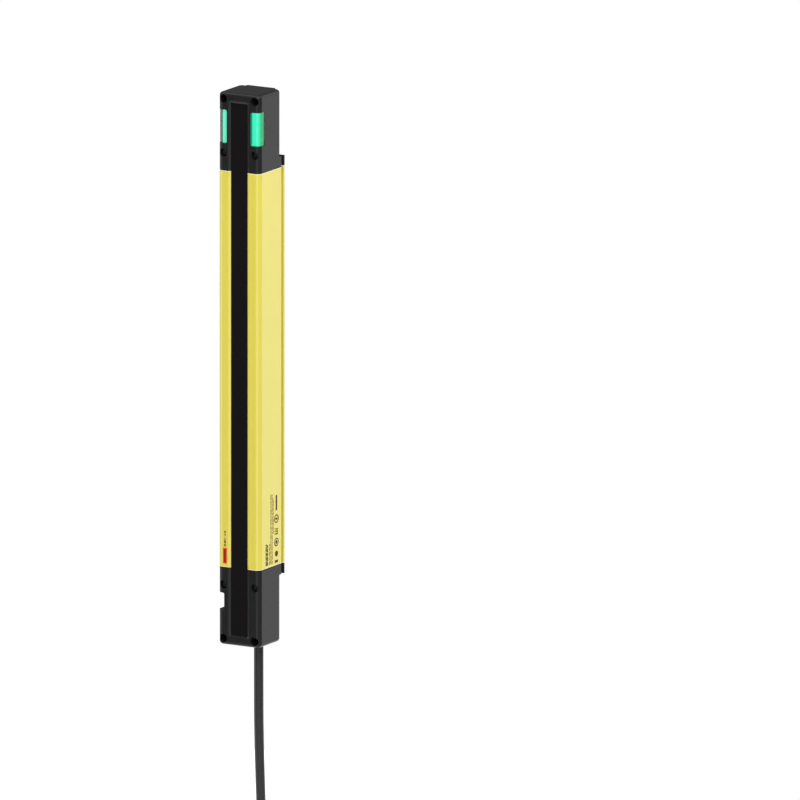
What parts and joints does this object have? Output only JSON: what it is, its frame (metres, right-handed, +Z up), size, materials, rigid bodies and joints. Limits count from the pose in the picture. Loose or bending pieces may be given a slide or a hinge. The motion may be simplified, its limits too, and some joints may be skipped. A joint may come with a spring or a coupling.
{
  "type": "safety light curtain",
  "caption": "Slim upright bar of a safety light curtain: yellow profile, black end caps, dark front window, green status lenses and a short cable with a round plug.",
  "frame": {"origin": "centre of the profile's flat rear face, half way up the profile", "axes": "+Z up along the bar, +Y rearwards out of the mounting face, the window faces -Y, +X to the right when looking along +Y at the window"},
  "size_m": [0.0306, 0.032, 0.5066],
  "materials": {
    "profile_paint": "smooth yellow powder coat on extruded aluminium",
    "window": "polished infrared-pass acrylic, near black",
    "seal": "soft black rubber",
    "cap": "satin black glass-filled polyamide",
    "status_lens": "clear polycarbonate lit green from behind",
    "frame_metal": "die-cast aluminium",
    "bright_screw": "zinc-plated steel",
    "black_screw": "dark oxide steel",
    "rail": "matt black moulding",
    "optics": "clear moulded optics",
    "circuit_board": "green solder mask",
    "diode": "clear epoxy",
    "led": "white reflector with clear fill",
    "chip": "moulded black epoxy",
    "can": "bare aluminium can",
    "socket": "natural nylon",
    "ribbon": "pale flat ribbon",
    "clamp": "moulded nylon",
    "wire": "thin insulated cores",
    "bushing": "soft black rubber",
    "cable_jacket": "satin black cable jacket",
    "plug_grip": "overmoulded black grip",
    "plug_metal": "nickel-plated sleeve",
    "seal_green": "dark green ring",
    "insert": "black contact carrier",
    "pin_gold": "gold-plated pins"
  },
  "bodies": {
    "root": {"housing_profile": "profile_paint", "front_window": "window", "window_seal": "seal", "upper_cap": "cap", "lower_cap": "cap", "indicator_lens_left": "status_lens", "indicator_lens_right": "status_lens", "upper_gasket": "seal", "lower_gasket": "seal", "upper_end_frame": "frame_metal", "lower_end_frame": "frame_metal", "upper_frame_screws": "bright_screw", "lower_frame_screws": "bright_screw", "upper_cap_screws": "black_screw", "lower_cap_screws": "black_screw", "optics_rail": "rail", "beam_lenses": "optics", "emitter_board": "circuit_board", "indicator_board": "circuit_board", "terminal_board": "circuit_board", "beam_diodes": "diode", "indicator_leds": "led", "processor_chip": "chip", "driver_chips": "chip", "capacitors": "can", "link_sockets": "socket", "terminal_header": "socket", "upper_ribbon_link": "ribbon", "lower_ribbon_link": "ribbon", "board_screws": "bright_screw", "clamp_screw": "bright_screw", "cable_clamp": "clamp", "lead_wires": "wire", "cable_bushing": "bushing", "pigtail_cable": "cable_jacket", "plug_body": "plug_grip", "plug_sleeve": "plug_metal", "plug_seal": "seal_green", "plug_insert": "insert", "plug_pins": "pin_gold"}
  },
  "joints": []
}
